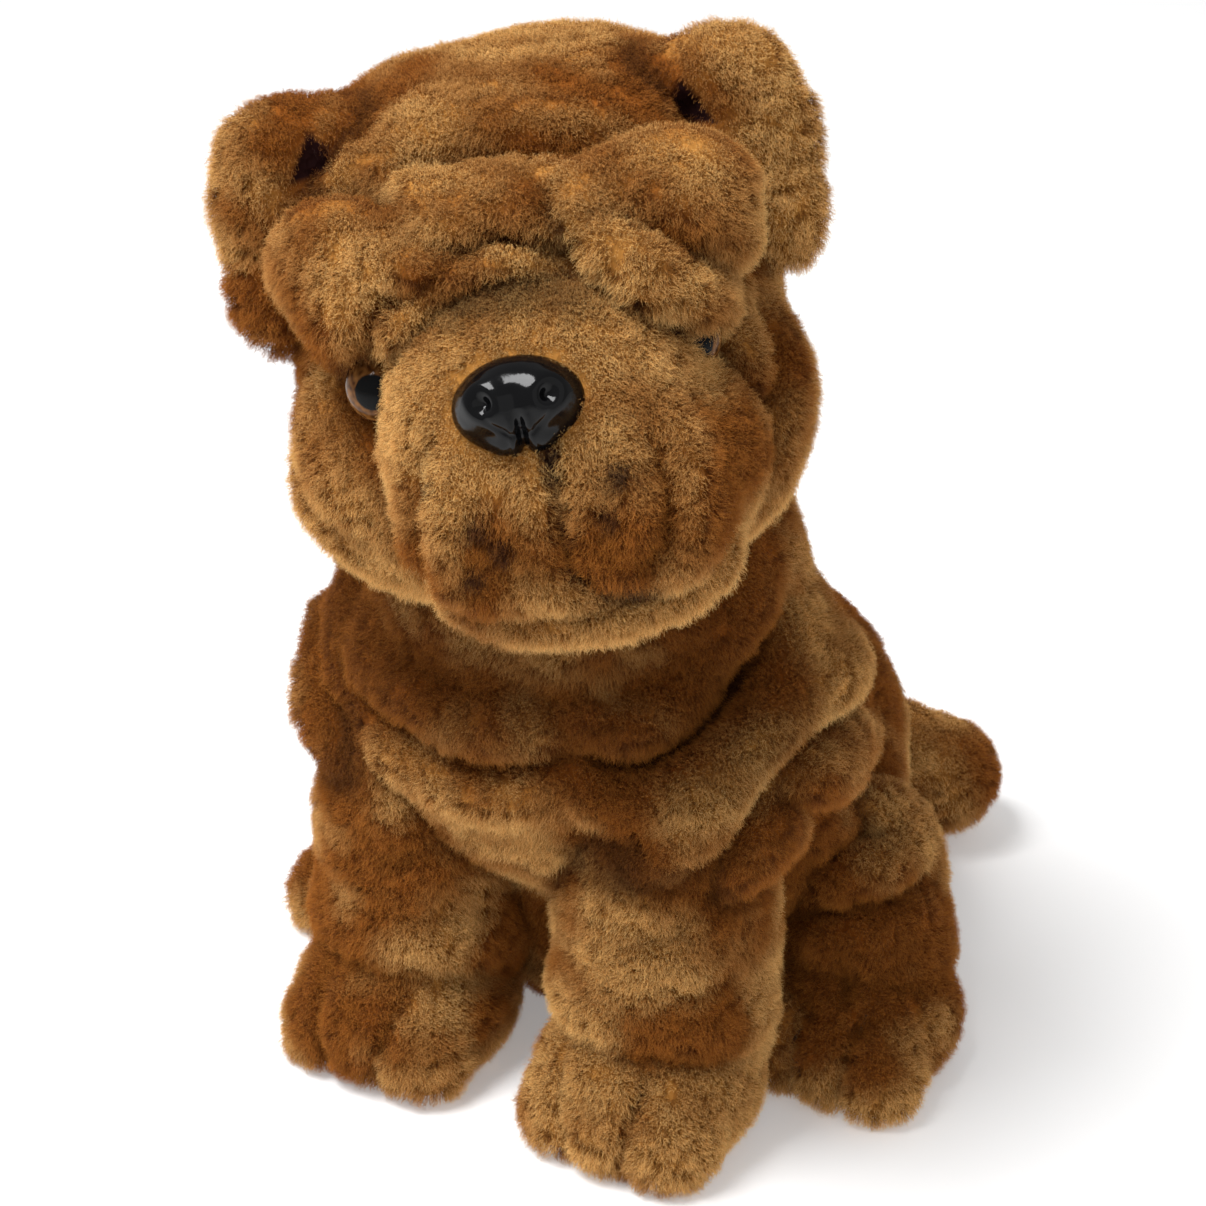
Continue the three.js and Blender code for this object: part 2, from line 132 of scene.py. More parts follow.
def curve_through(points, step=1.0):
    """Points about a millimetre apart on a smooth line through the given ones, with 0 to 1 along it."""
    p = np.array(points, float)
    p = np.vstack([2 * p[0] - p[1], p, 2 * p[-1] - p[-2]])
    out = []
    for i in range(1, len(p) - 2):
        a, b, c, d = p[i - 1 : i + 3]
        n = max(2, int(np.linalg.norm(c - b) / step))
        for t in np.arange(n) / n:
            square = (2 * a - 5 * b + 4 * c - d) * t**2
            cube = (3 * b - a - 3 * c + d) * t**3
            out.append(0.5 * (2 * b + (c - a) * t + square + cube))
    out.append(p[-2])
    out = np.array(out)
    return out, np.linspace(0, 1, len(out))


def fold_field(co, folds, sharp=1.0):
    """How far each fold pushes each point in (negative) or out, and how much painted shade it gets there."""
    push, dark = np.zeros(len(co)), np.zeros(len(co))
    for points, depth, width, puff in folds:
        line, along = curve_through(points)
        taper = np.clip(np.sin(np.pi * np.clip(along, 0.02, 0.98)) * 1.6, 0, 1) ** 0.7
        near, k = np.full(len(co), 1e9), np.zeros(len(co), int)
        for i, q in enumerate(line):
            d = ((co - q) ** 2).sum(1)
            closer = d < near
            near[closer], k[closer] = d[closer], i
        near, t = np.sqrt(near), taper[k]
        crease = depth * np.exp(-near / (width * sharp))
        rolls = puff * np.exp(-(((near - 2.6 * width) / (1.7 * width)) ** 2))
        push += t * (rolls - crease)
        # painted shade, darkest along the middle of each crease
        dark = np.maximum(dark, t * np.exp(-((near / (width * 0.7)) ** 2)) * min(1.0, depth / 6))
    return push, dark


def subdivided(o, levels=1):
    return with_modifier(o, "SUBSURF", levels=levels, render_levels=levels)


# ---- Forms, in millimetres: centre, half sizes, turn ----
TORSO = [
    ball((0, 4, 44), (47, 46, 48)),
    ball((0, -28, 28), (34, 26, 27)),
    ball((0, -20, 62), (50, 42, 44)),
    ball((-1, -44, 93), (60, 41, 42)),
    ball((-1, -47, 126), (47, 37, 30)),
    ball((-4, -50, 150), (36, 32, 22)),
    *(ball((k * 34, -62, 86), (22, 20, 22)) for k in (1, -1)),
]
HEAD_BALLS = [
    ball((-1, 2, 2), (46.5, 44, 44)),
    ball((0, 4, 24), (47, 34, 24)),
    ball((0, -30, 16), (43, 19, 18)),
    ball((28, -31, 24), (17, 13, 12)),
    ball((-31, -26, 22), (15, 12, 11)),
    *(ball((k * 22 - 1, -14, -22), (27.5, 29, 26)) for k in (1, -1)),
]
MUZZLE = [
    ball((0, -40, -10), (30, 28, 28)),
    ball((5, -40, -21), (33, 26, 23)),
    *(ball((2 + k * 13, -58, -21), (15, 12, 19)) for k in (1, -1)),
    ball((3, -49, -38), (27, 18, 9)),
]


def ear_balls(k):
    return [
        ball((k * 42, -6, 41), (14, 8, 8)),
        ball((k * 48, -9, 29), (11.5, 5.5, 15), (0, 0, k * 12)),
        ball((k * 51, -10, 15), (7.5, 4.5, 12), (0, 0, k * 12)),
        ball((k * 33, -4, 40), (8, 8, 7)),
    ]


def front_leg(k):
    x = k * 32
    return [
        ball((x, -66, 76), (19, 18, 18)),
        ball((x, -66, 55), (21.5, 19, 30)),
        ball((x, -67, 34), (22, 20, 28)),
        ball((x, -73, 15), (22, 23, 15)),
        *(ball((x + j * 12.5, -86, 11), (8.5, 9, 10)) for j in (-1, 0, 1)),
    ]


def hind_leg(k):
    x = k * 53
    return [
        ball((x, -10, 31), (14, 22, 26)),
        ball((x + k * 4, -16, 22), (17, 22, 19)),
        ball((x + k * 10, -26, 13), (18, 20, 13)),
        *(ball((x + k * 10 + j * 11, -42, 10), (8, 8, 9)) for j in (-1, 0, 1)),
    ]


TAIL = [
    ball((0, 46, 26), (13, 13, 13)),
    ball((13, 54, 25), (13.5, 13, 13)),
    ball((26, 61, 22), (13, 13, 13)),
    ball((37, 68, 18.5), (11.5, 11.5, 12)),
]

# ---- Folds: points along the crease, its depth and width, and the height of the rolls beside it ----
HEAD_FOLDS = [
    ([(-36, -38, -8), (-32, -38, -2), (-21, -42, 11), (-12, -44, 18), (-2, -45, 20), (8, -46, 18),
      (17, -46, 13), (24, -46, 6), (31, -42, -5), (37, -36, -20), (36, -32, -34)], 5, 3, 2.5),
    ([(-20, -41, 28), (-10, -45, 27), (-2, -45, 28), (9, -48, 21), (15, -48, 15), (22, -44, 7),
      (30, -37, -2)], 7, 2.6, 2.6),
    ([(-25, -20, 36), (-14, -23, 37), (2, -26, 37), (19, -26, 34), (29, -24, 30)], 3, 3, 1.4),
    ([(14, -45, 24), (16, -43, 27), (22, -42, 26), (29, -42, 22), (34, -40, 17),
      (40, -28, 8)], 3.6, 2.6, 1.3),
    ([(36, -13, 34), (39, -15, 25), (46, -7, 14)], 4, 3, 1),
    ([(5, -38, 33), (9, -45, 27), (10, -48, 20)], 4, 3, 1),
    ([(-45, -5, 14), (-42, -13, 21), (-34, -20, 27), (-25, -27, 31), (-21, -34, 31)], 4.5, 2.6, 2),
    ([(-28, -44, 20), (-20, -46, 21), (-13, -46, 25)], 3.5, 2.4, 1.2),
    ([(-33, -40, 8), (-27, -45, 18), (-21, -46, 22)], 4, 2.4, 1.2),
    ([(-46, -16, 4), (-42, -28, 2), (-38, -34, -6)], 3, 2.6, 1.2),
    ([(44, -22, 0), (43, -28, -12), (38, -34, -24)], 3, 2.8, 1.4),
    ([(-47, -10, -14), (-43, -24, -22), (-36, -32, -30)], 2.6, 2.6, 1.2),
    ([(-30, 22, 36), (-10, 30, 38), (12, 30, 38), (30, 22, 36)], 2.5, 3, 1.2),
    ([(-34, 34, -14), (-12, 44, -18), (12, 44, -18), (34, 34, -14)], 3, 3, 1.6),
]
MUZZLE_FOLDS = [
    ([(-19, -60, -2), (-23, -64, -12), (-25, -64, -24), (-22, -60, -34)], 3.2, 2.2, 1.4),
    ([(18, -64, -8), (20, -66, -16), (19, -67, -24), (14, -66, -32)], 3.2, 2.2, 1.4),
    ([(1, -68, -7), (1, -69, -16), (0, -67, -27), (2, -66, -33), (8, -65, -36),
      (15, -65, -35)], 3.6, 1.8, 1.4),
    ([(-29, -52, -26), (-22, -60, -34), (-10, -63, -38), (4, -63, -39), (18, -61, -37),
      (28, -52, -28)], 3.2, 2.2, 1.4),
]
TORSO_FOLDS = [
    ([(-56, -52, 118), (-53, -58, 109), (-47, -70, 94), (-36, -76, 87), (-25, -79, 78)], 6, 3, 3),
    ([(-44, -72, 103), (-36, -77, 95), (-21, -82, 95), (-8, -84, 93), (3, -85, 94), (15, -83, 98),
      (19, -82, 100)], 6.5, 3, 3.4),
    ([(19, -82, 100), (22, -80, 100), (27, -80, 99), (36, -75, 99), (43, -67, 108), (45, -55, 118),
      (45, -44, 127)], 6.5, 3, 3.4),
    ([(56, 6, 84), (58, -14, 94), (60, -34, 97), (57, -52, 99), (52, -62, 95), (47, -68, 88),
      (41, -72, 78), (30, -74, 66), (18, -72, 58)], 6.5, 3, 3.4),
    ([(50, -66, 86), (53, -62, 88), (56, -54, 84), (56, -46, 74), (50, -38, 62)], 4.5, 2.6, 2.2),
    ([(56, -50, 82), (50, -24, 69), (46, 6, 55)], 5, 3, 2.6),
    ([(-56, 4, 84), (-60, -20, 94), (-60, -40, 100), (-52, -62, 104)], 5, 3, 3),
    ([(-56, -50, 80), (-52, -24, 68), (-46, 6, 54)], 5, 3, 2.6),
    ([(-44, -10, 116), (-20, -8, 122), (4, -8, 122), (30, -10, 118), (44, -18, 114)], 5, 3, 3),
    ([(-44, 6, 92), (-18, 14, 96), (8, 14, 96), (36, 8, 92)], 4.5, 3, 2.8),
    ([(-40, 30, 64), (-14, 42, 68), (14, 42, 68), (40, 30, 64)], 3.5, 3, 2),
]


def paw_folds(x, y, top):
    """Toe creases and the fold over the paw's top, for a paw whose middle toe is at x, y."""
    return [
        ([(x - 6.2, y + 4, 21), (x - 6.5, y - 5, 16), (x - 6.5, y - 9, 8),
          (x - 6.2, y - 8, 2)], 3, 1.5, 0.8),
        ([(x + 6.2, y + 4, 21), (x + 6.5, y - 5, 16), (x + 6.5, y - 9, 8),
          (x + 6.2, y - 8, 2)], 3, 1.5, 0.8),
        ([(x - 20, y + 22, top - 4), (x - 11, y + 11, top + 1), (x, y + 8, top + 2),
          (x + 11, y + 11, top + 1), (x + 20, y + 22, top - 4)], 1.2, 2.6, 0.7),
    ]


def front_leg_folds(k):
    x = k * 32
    return paw_folds(x, -86, 29) + [
        ([(x + 2, -85, 58), (x + 8, -84, 60), (x + 14, -80, 64)], 1.2, 3, 0.5),
    ]


def hind_leg_folds(k):
    x = k * 63
    return paw_folds(x, -42, 25) + [
        ([(x - k * 19, -36, 36), (x - k * 8, -34, 42), (x + k * 4, -24, 44),
          (x + k * 8, -8, 42)], 3.5, 2.6, 2),
        ([(x - k * 20, -34, 50), (x - k * 12, -28, 54), (x - k * 2, -14, 53)], 3, 2.6, 2),
        ([(x + k * 2, -42, 24), (x + k * 1, -40, 31), (x - k * 2, -37, 36)], 2.5, 2, 1),
    ]


# ---- Shaping ----
def surface_tree(o):
    co = coordinates(o)
    return BVHTree.FromPolygons([tuple(c) for c in co], [tuple(q.vertices) for q in o.data.polygons])


def on_surface(o, folds):
    """The folds with their points moved onto the piece's surface."""
    tree = surface_tree(o)
    made = []
    for points, *rest in folds:
        line, _ = curve_through(points, 4.0)
        made.append(([tuple(tree.find_nearest(Vector(q))[0]) for q in line], *rest))
    return made


def lumps(co, size, seed):
    """Smooth noise from -1 to 1, as high where the stuffing is lumpy."""
    shift = Vector((seed * 17.3, seed * 5.1, seed * 9.7))
    return np.array([noise.noise(Vector(c) / size + shift) for c in co])


def paint(o, dark, ink_and_shade, red):
    """Colour attribute of a piece: red channel painted shade in folds, green airbrushed marks and painted
    shadow, blue reddish pile.
    """
    n = len(o.data.vertices)
    rgba = np.zeros((n, 4), dtype=np.float32)
    rgba[:, 3] = 1
    for channel, values in ((0, dark), (1, ink_and_shade), (2, red)):
        rgba[:, channel] = np.clip(values, 0, 1)
    layer = o.data.color_attributes.new("Shade", "BYTE_COLOR", "CORNER")
    loops = np.empty(len(o.data.loops), dtype=np.int32)
    o.data.loops.foreach_get("vertex_index", loops)
    layer.data.foreach_set("color", rgba[loops].ravel())


def pressed(o, centres, depth, reach):
    """Presses hollows into a piece round the given centres."""
    co = coordinates(o)
    push = np.zeros(len(co))
    for c in centres:
        d = np.linalg.norm(co - np.array(c), axis=1)
        push = np.maximum(push, depth * np.exp(-((d / reach) ** 2)))
    put_coordinates(o, co - normals(o) * push[:, None])


PUFF_PRESSURE = 4.0
PUFF_FRAMES = 20
MOST_PUFF = 3.0  # how far the cloth may move, mm
SEWN = 0.35  # darkness of a crease from which it is sewn down


def puffed(o, folds):
    """Lets the stuffing press the cloth out between the creases, which stay sewn down."""
    before = coordinates(o)
    _, dark = fold_field(before, folds, 1.3)
    group = o.vertex_groups.new(name="sewn")
    for i in np.nonzero(dark > SEWN)[0]:
        group.add([int(i)], 1.0, "REPLACE")
    put_coordinates(o, before * MM)
    cloth = o.modifiers.new("cloth", "CLOTH")
    st = cloth.settings
    st.quality = 6
    st.mass = 0.15
    st.tension_stiffness = st.compression_stiffness = 12
    st.shear_stiffness = 6
    st.bending_stiffness = 0.6
    st.use_pressure = True
    st.uniform_pressure_force = PUFF_PRESSURE
    st.vertex_group_mass = "sewn"
    st.effector_weights.gravity = 0
    st.shrink_min = -0.04
    cloth.collision_settings.use_collision = False
    cloth.point_cache.frame_start, cloth.point_cache.frame_end = 1, PUFF_FRAMES
    for f in range(1, PUFF_FRAMES + 1):
        scene.frame_set(f)
    bake(o)
    scene.frame_set(1)
    after = coordinates(o) / MM
    step = after - before
    length = np.linalg.norm(step, axis=1, keepdims=True)
    step *= np.minimum(1, MOST_PUFF / np.maximum(length, 1e-6))
    put_coordinates(o, before + step)


COARSE_SHARE, FINE_SHARE = 0.6, 0.9  # of a fold's depth, before and after the puffing
# painted shade of each piece's creases, and each piece's frame
CREASE_SHADE, PLACE = {}, {}
FLOOR = 0.6


def soft(name, balls, place, folds=(), voxel=3.0, smooth=8, floor=None, lump=1.2, seed=1):
    """A stuffed skin: forms joined, creased, puffed by cloth pressure, then creased finely and made lumpy."""
    o = joined_balls(name, balls, voxel, smooth, floor)
    folds = on_surface(o, folds)
    push, _ = fold_field(coordinates(o), folds, 1.6)
    put_coordinates(o, coordinates(o) + normals(o) * (COARSE_SHARE * push)[:, None])
    puffed(o, folds)
    subdivided(o)
    co = coordinates(o)
    push, dark = fold_field(co, on_surface(o, folds))
    push = FINE_SHARE * push + lump * lumps(co, 17, seed) + 0.16 * lumps(co, 6, seed + 3)
    if floor is not None:
        push *= np.clip((co[:, 2] - floor - 1) / 4, 0, 1)
    put_coordinates(o, co + normals(o) * push[:, None])
    co = coordinates(o)
    if floor is not None:
        co[:, 2] = np.maximum(co[:, 2], floor)
        put_coordinates(o, co)
    CREASE_SHADE[name] = dark
    PLACE[name] = place
    return o


torso = soft("torso_skin", TORSO, ROW, TORSO_FOLDS, floor=FLOOR, seed=1)
head = soft("head_skin", HEAD_BALLS, HEAD, HEAD_FOLDS, smooth=6, seed=2)
muzzle = soft("muzzle_skin", MUZZLE, HEAD, MUZZLE_FOLDS, voxel=2.5, smooth=5, lump=0.6, seed=3)
ears, legs = {}, {}
LEG = {"voxel": 2.5, "smooth": 5, "floor": FLOOR, "lump": 0.9}
for side, k in SIDES:
    ears[side] = soft(f"ear_{side}_pelt", ear_balls(k), HEAD, voxel=2.0, smooth=6, lump=0.6, seed=4)
    name = f"front_leg_{side}"
    legs[name] = soft(f"{name}_pelt", front_leg(k), ROW, front_leg_folds(k), seed=5 + k, **LEG)
    name = f"hind_leg_{side}"
    legs[name] = soft(f"{name}_pelt", hind_leg(k), ROW, hind_leg_folds(k), seed=8 + k, **LEG)
tail = soft("tail_pelt", TAIL, ROW, smooth=5, voxel=2.5, floor=FLOOR, lump=0.8, seed=12)
pelts = [torso, head, muzzle, tail, *ears.values(), *legs.values()]


# ---- Eyes, nose and threads, in the head frame or the row frame ----
EYES = {"right": (-31.5, -36.8, -0.5), "left": (29, -39, 0)}
LEFT_LID = (33, -42, 3)  # the drooping lid nearly closes this eye
EYE_RADIUS = 7.2
NOSE_CENTRE = (-3.5, -64, 1.5)
NOSE_HALF = (12.9, 8.5, 9.5)
NOTCHES = ((-38, -12, 40), (36, -12, 38))
EYE_SLIT = ((24, -43, 8), (14, 11, 8))  # middle and half sizes of the narrow slit over the left eye, which is painted dark as the lid's shadow
WHISKER_DOTS = (
    *((-19, -66, -13), (-15, -68, -19), (-11, -68, -23), (-17, -66, -27)),
    *((14, -68, -14), (11, -68, -20)),
)


def dense_ball(name, radius, levels=6):
    bm = bmesh.new()
    bmesh.ops.create_icosphere(bm, subdivisions=levels, radius=radius)
    mesh = bpy.data.meshes.new(name)
    bm.to_mesh(mesh)
    bm.free()
    o = mesh_object(name, mesh)
    mesh.shade_smooth()
    return o


def ring_bump(x, z, at, radius):
    return np.exp(-(((x - at[0]) ** 2 + (z - at[1]) ** 2) / radius**2))


def make_nose():
    """Moulded nose: domed oval, two dimpled nostril bumps, a creased centre line and a lobed lower edge."""
    o = dense_ball("nose_cap", 1.0)
    u = coordinates(o)
    co = u * np.array(NOSE_HALF)
    x, z = co[:, 0], co[:, 2]
    co[:, 0] *= 1 - 0.07 * np.clip(-u[:, 2], 0, 1) ** 2
    front = np.clip(-u[:, 1] * 2, 0, 1)
    rise = np.zeros(len(co))
    for k in (1, -1):
        rise += 2.2 * ring_bump(x, z, (k * 6.0, 3.8), 3.6) - 3.0 * ring_bump(x, z, (k * 6.0, 3.8), 1.7)
        rise -= 0.5 * ring_bump(x, z, (k * 6.0, -3.2), 2.0)
        rise += 0.8 * ring_bump(x, z, (k * 4.2, -6.0), 2.6)
        rise += 0.5 * np.exp(-(((x - k * 1.9) / 0.7) ** 2)) * np.clip((1.5 - z) / 3, 0, 1)
    rise -= 1.3 * np.exp(-((x / 0.8) ** 2)) * np.clip((2.5 - z) / 3, 0, 1)
    rise -= 0.5 * np.exp(-(((z + 3.0 - 0.12 * x**2) / 0.8) ** 2)) * np.clip((7 - abs(x)) / 3, 0, 1)
    co += u * (rise * front)[:, None]
    put_coordinates(o, co + np.array(NOSE_CENTRE))
    return o


def make_eye(side):
    o = dense_ball(f"eye_{side}_dome", EYE_RADIUS)
    u = coordinates(o) / EYE_RADIUS
    look = np.array((-0.2, -0.95, 0.2) if side == "right" else (0.3, -0.93, 0.1))
    look /= np.linalg.norm(look)
    away = np.degrees(np.arccos(np.clip(u @ look, -1, 1)))
    pupil = np.clip((31 - away) / 2, 0, 1)
    rim = np.clip((away - 58) / 6, 0, 1)
    fleck = np.clip(0.5 + 0.8 * lumps(u * 10, 1.4, 2.0), 0, 1)
    paint(o, rim, pupil, fleck)
    put_coordinates(o, coordinates(o) + np.array(EYES[side]))
    return o


def make_thread(name, points, surface, radius=0.45):
    """Embroidery thread lying along a toe crease, twisted from two plies."""
    line, _ = curve_through(on_surface(surface, [(points,)])[0][0], 0.5)
    sides = 8
    bm = bmesh.new()
    rings = []
    for i, c in enumerate(line):
        ahead = Vector(line[min(i + 1, len(line) - 1)]) - Vector(line[max(i - 1, 0)])
        across = ahead.cross(Vector((1, 0, 0))).normalized()
        other = ahead.cross(across).normalized()
        r = radius * (1 + 0.18 * math.sin(i * 1.6))
        ring = []
        for j in range(sides):
            a = 2 * math.pi * j / sides
            ring.append(bm.verts.new(Vector(c) + r * (across * math.cos(a) + other * math.sin(a))))
        rings.append(ring)
    for a, b in zip(rings, rings[1:]):
        for j in range(sides):
            bm.faces.new((a[j], a[(j + 1) % sides], b[(j + 1) % sides], b[j]))
    bm.faces.new(rings[0][::-1])
    bm.faces.new(rings[-1])
    bmesh.ops.recalc_face_normals(bm, faces=bm.faces)
    mesh = bpy.data.meshes.new(name)
    bm.to_mesh(mesh)
    bm.free()
    o = mesh_object(name, mesh)
    mesh.shade_smooth()
    return o


nose = make_nose()
eyes = {side: make_eye(side) for side, _ in SIDES}
threads = {}
for side, k in SIDES:
    for name, folds in ((f"front_leg_{side}", front_leg_folds(k)), (f"hind_leg_{side}", hind_leg_folds(k))):
        for i in (0, 1):
            thread = make_thread(f"{name}_toe_stitch_{i + 1}", folds[i][0], legs[name])
            threads[thread.name] = (thread, name, i + 1)
LIP = on_surface(muzzle, [(MUZZLE_FOLDS[2][0],)])[0][0]
DOTS = [on_surface(muzzle, [([dot, (dot[0], dot[1], dot[2] - 0.5)],)])[0][0][0] for dot in WHISKER_DOTS]
pressed(head, [EYES["right"]], 4.5, 8.5)
pressed(head, [LEFT_LID], -3.0, 9.0)
pressed(muzzle, [EYES["right"]], 1.5, 7.0)
pressed(muzzle, [(NOSE_CENTRE[0], NOSE_CENTRE[1] - 3, NOSE_CENTRE[2])], 2.0, 9.0)
for o in (head, *ears.values()):
    pressed(o, NOTCHES, 3.5, 4.0)


# ---- Materials ----
def material(name):
    m = bpy.data.materials.new(name)
    m.use_nodes = True
    return m, m.node_tree, m.node_tree.nodes["Principled BSDF"]


def node(tree, kind, **inputs):
    n = tree.nodes.new(kind)
    for key, value in inputs.items():
        n.inputs[key].default_value = value
    return n


def mixed(tree, factor, a, b, blend="MIX"):
    """A colour mix; factor, a and b are values or sockets."""
    n = tree.nodes.new("ShaderNodeMix")
    n.data_type, n.blend_type = "RGBA", blend
    for socket, value in ((n.inputs[0], factor), (n.inputs[6], a), (n.inputs[7], b)):
        if isinstance(value, bpy.types.NodeSocket):
            tree.links.new(value, socket)
        else:
            socket.default_value = value
    return n.outputs[2]


GOLD = (0.80, 0.39, 0.09, 1)
RUST = (0.36, 0.108, 0.014, 1)
SAND = (1.0, 0.70, 0.29, 1)
AMBER = (0.52, 0.20, 0.032, 1)
ROOT = (0.13, 0.042, 0.009, 1)
# colour of the painted shade in folds, where pieces meet and round the eye
FOLD_SHADE = (0.045, 0.014, 0.004, 1)
# near-black of the airbrushed marks, the ear notches and the painted shadow in the eye slit
INK_AND_SHADE = (0.022, 0.008, 0.008, 1)


def pile_colour(tree, tip_factor, strand):
    """Pile colour: rusty and golden patches, darker roots, sandy tips, painted shade in folds and where
    pieces meet, and airbrushed marks with the painted shadow of the eye slit.
    """
    shade = node(tree, "ShaderNodeVertexColor")
    shade.layer_name = "Shade"
    split = tree.nodes.new("ShaderNodeSeparateColor")
    tree.links.new(shade.outputs["Color"], split.inputs[0])
    body = mixed(tree, split.outputs[2], GOLD, RUST)
    if strand is not None:
        ramp = tree.nodes.new("ShaderNodeMapRange")
        ramp.inputs["To Min"].default_value = 0.72
        ramp.inputs["To Max"].default_value = 1.3
        tree.links.new(strand, ramp.inputs["Value"])
        combine = tree.nodes.new("ShaderNodeCombineColor")
        for i in range(3):
            tree.links.new(ramp.outputs[0], combine.inputs[i])
        body = mixed(tree, 1.0, body, combine.outputs[0], "MULTIPLY")
        tips = tree.nodes.new("ShaderNodeValToRGB")
        e = tips.color_ramp.elements
        e[0].position, e[0].color = 0.0, (0, 0, 0, 1)
        e[1].position, e[1].color = 1.0, (1, 1, 1, 1)
        tree.links.new(tip_factor, tips.inputs[0])
        low = mixed(tree, tips.outputs[0], ROOT, body)
        top = tree.nodes.new("ShaderNodeMapRange")
        top.inputs["From Min"].default_value = 0.5
        top.inputs["To Max"].default_value = 0.7
        tree.links.new(tip_factor, top.inputs["Value"])
        body = mixed(tree, top.outputs[0], low, mixed(tree, split.outputs[2], SAND, AMBER))
    else:
        body = mixed(tree, 0.5, body, ROOT)
    # red channel: painted shade of folds, joins and the eye socket
    dark = tree.nodes.new("ShaderNodeMath")
    dark.operation = "MULTIPLY"
    dark.inputs[1].default_value = 0.9
    tree.links.new(split.outputs[0], dark.inputs[0])
    body = mixed(tree, dark.outputs[0], body, FOLD_SHADE)
    # green channel: airbrushed marks, ear notches and the painted shadow of the eye slit
    return mixed(tree, split.outputs[1], body, INK_AND_SHADE)


def pelt_materials():
    skin, tree, b = material("pile_backing")
    grain = node(tree, "ShaderNodeTexNoise", Scale=900.0, Detail=4.0)
    weave = node(tree, "ShaderNodeTexVoronoi", Scale=420.0)
    place = tree.nodes.new("ShaderNodeTexCoord")
    tree.links.new(place.outputs["Object"], grain.inputs["Vector"])
    tree.links.new(place.outputs["Object"], weave.inputs["Vector"])
    colour = pile_colour(tree, None, None)
    speckle = mixed(tree, grain.outputs[0], (0.6, 0.6, 0.6, 1), (1.35, 1.3, 1.25, 1))
    tree.links.new(mixed(tree, 1.0, colour, speckle, "MULTIPLY"), b.inputs["Base Color"])
    bump = node(tree, "ShaderNodeBump", Strength=0.7, Distance=0.0012)
    tree.links.new(weave.outputs["Distance"], bump.inputs["Height"])
    tree.links.new(bump.outputs[0], b.inputs["Normal"])
    b.inputs["Roughness"].default_value = 0.95
    b.inputs["Specular IOR Level"].default_value = 0.05
    hair, tree, b = material("pile_fibre")
    info = tree.nodes.new("ShaderNodeHairInfo")
    colour = pile_colour(tree, info.outputs["Intercept"], info.outputs["Random"])
    tree.links.new(colour, b.inputs["Base Color"])
    b.inputs["Roughness"].default_value = 0.6
    b.inputs["Specular IOR Level"].default_value = 0.12
    return skin, hair


PELT_SKIN, PELT_HAIR = pelt_materials()


def noise_bump(tree, b, scale, strength, distance):
    grain = node(tree, "ShaderNodeTexNoise", Scale=scale, Detail=5.0)
    place = tree.nodes.new("ShaderNodeTexCoord")
    tree.links.new(place.outputs["Object"], grain.inputs["Vector"])
    bump = node(tree, "ShaderNodeBump", Strength=strength, Distance=distance)
    tree.links.new(grain.outputs[0], bump.inputs["Height"])
    tree.links.new(bump.outputs[0], b.inputs["Normal"])
    return grain


def ranged(tree, value, low, high):
    n = node(tree, "ShaderNodeMapRange", **{"To Min": low, "To Max": high})
    tree.links.new(value, n.inputs["Value"])
    return n.outputs[0]


def plastic(name, colour, rough, scale=260.0):
    """Moulded plastic with faint flow marks and rubbed patches."""
    m, tree, b = material(name)
    grain = noise_bump(tree, b, scale, 0.15, 0.0004)
    tint = mixed(tree, grain.outputs[0], tuple(0.7 * c for c in colour[:3]) + (1,), colour)
    tree.links.new(tint, b.inputs["Base Color"])
    tree.links.new(ranged(tree, grain.outputs[0], 0.7 * rough, 1.5 * rough), b.inputs["Roughness"])
    return m, tree, b


def cloth(name, colour, scale):
    """Woven or felted cloth with thread grain and worn colour."""
    m, tree, b = material(name)
    grain = noise_bump(tree, b, scale, 0.8, 0.0006)
    tint = mixed(tree, grain.outputs[0], tuple(0.5 * c for c in colour[:3]) + (1,), colour)
    tree.links.new(tint, b.inputs["Base Color"])
    tree.links.new(ranged(tree, grain.outputs[0], 0.75, 1.0), b.inputs["Roughness"])
    b.inputs["Sheen Weight"].default_value = 0.3
    return m


NOSE_PLASTIC, _, shader = plastic("nose_gloss", (0.003, 0.003, 0.0035, 1), 0.09)
shader.inputs["Specular IOR Level"].default_value = 0.2
EYE_PLASTIC, tree, shader = plastic("eye_gloss", (0.35, 0.15, 0.03, 1), 0.08)
shade = node(tree, "ShaderNodeVertexColor")
shade.layer_name = "Shade"
split = tree.nodes.new("ShaderNodeSeparateColor")
tree.links.new(shade.outputs["Color"], split.inputs[0])
iris = mixed(tree, split.outputs[2], (0.05, 0.017, 0.005, 1), (0.24, 0.10, 0.025, 1))
iris = mixed(tree, split.outputs[0], iris, (0.03, 0.012, 0.006, 1))
tree.links.new(mixed(tree, split.outputs[1], iris, (0.004, 0.004, 0.004, 1)), shader.inputs["Base Color"])
shader.inputs["Specular IOR Level"].default_value = 0.1
THREAD = cloth("stitch_thread", (0.09, 0.04, 0.02, 1), 2500.0)
WASHER, _, _ = plastic("washer_white", (0.75, 0.74, 0.70, 1), 0.45)
BAG = cloth("bag_calico", (0.72, 0.66, 0.54, 1), 1800.0)
FILL = cloth("fill_fibre", (0.86, 0.85, 0.82, 1), 700.0)


def area_of(o):
    return sum(q.area for q in o.data.polygons)


